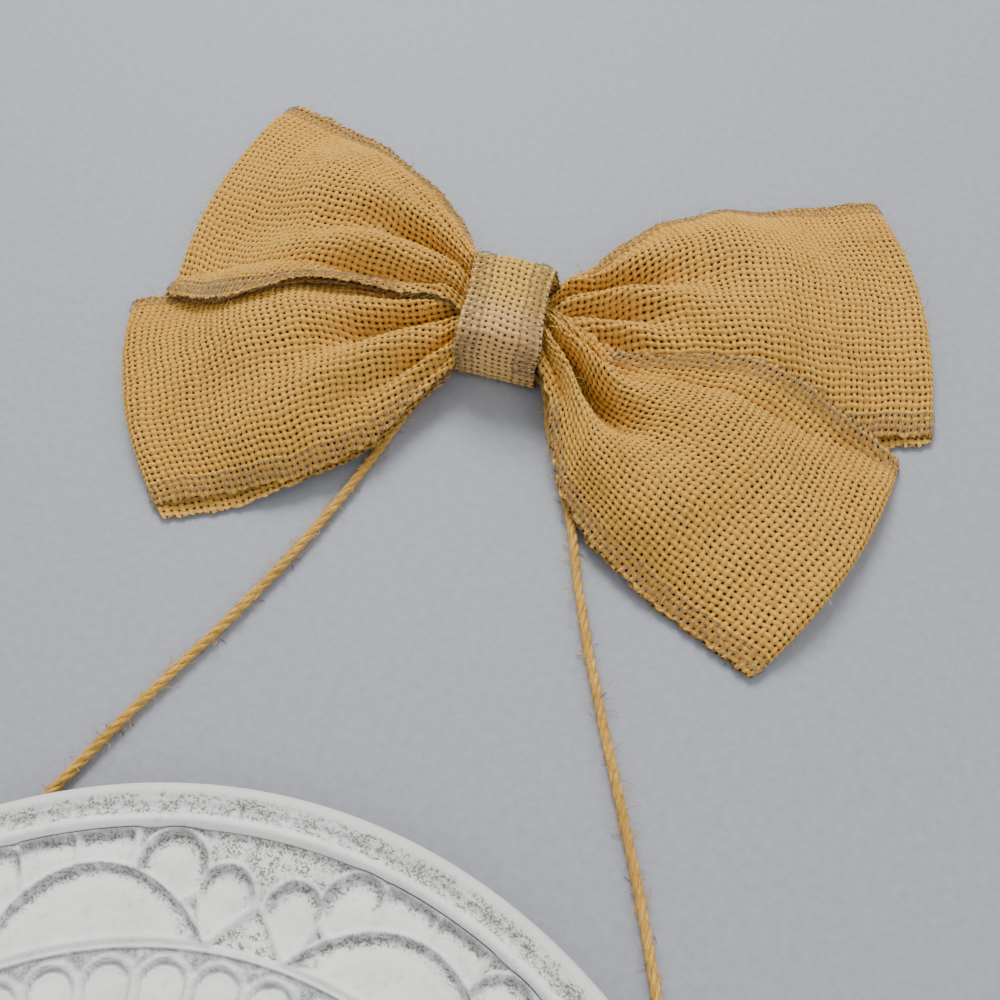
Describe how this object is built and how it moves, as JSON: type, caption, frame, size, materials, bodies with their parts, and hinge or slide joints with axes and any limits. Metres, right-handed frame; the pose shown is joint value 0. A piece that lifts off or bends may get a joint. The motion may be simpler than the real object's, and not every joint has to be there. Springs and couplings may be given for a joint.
{
  "type": "round wall plaque with bow hanger",
  "caption": "Round carved wall plaque hung from a jute twine loop that carries a burlap bow with crossed loops.",
  "frame": {"origin": "centre of the plaque's foot, on the surface that it lies on", "axes": "+Z out of the plaque's carved face, +Y from the plaque's centre to the bow's knot, +X to the right when the face is seen with the bow at the top"},
  "size_m": [0.254, 0.4805, 0.0264],
  "materials": {
    "whitewashed_plaster": "matt whitewash over carved relief, grey wash in the recesses",
    "plated_steel": "satin plated",
    "jute_twine": "three-ply twisted jute",
    "burlap": "open plain weave, overlocked edges",
    "tie_thread": "waxed thread"
  },
  "bodies": {
    "plaque": {"plaque": "whitewashed_plaster", "ring_strap_left": "plated_steel", "ring_strap_right": "plated_steel", "strap_screw_left": "plated_steel", "strap_screw_right": "plated_steel"},
    "hanger": {"d_ring_left": "plated_steel", "d_ring_right": "plated_steel", "twine_knot_left": "jute_twine", "twine_knot_right": "jute_twine", "twine": "jute_twine"},
    "bow": {"bow_loop_under": "burlap", "bow_loop_over": "burlap", "bow_wrap": "burlap", "gather_tie": "tie_thread"}
  },
  "joints": [
    {"name": "hanger_fold", "type": "hinge", "parent": "plaque", "child": "hanger", "pos_m": [0, 0.045, 0.0062], "axis": [1, 0, 0], "range_deg": [-150, 0]},
    {"name": "bow_tilt", "type": "hinge", "parent": "hanger", "child": "bow", "pos_m": [0, 0.25935, 0.0027], "axis": [1, 0, 0], "range_deg": [-22, 0]}
  ]
}
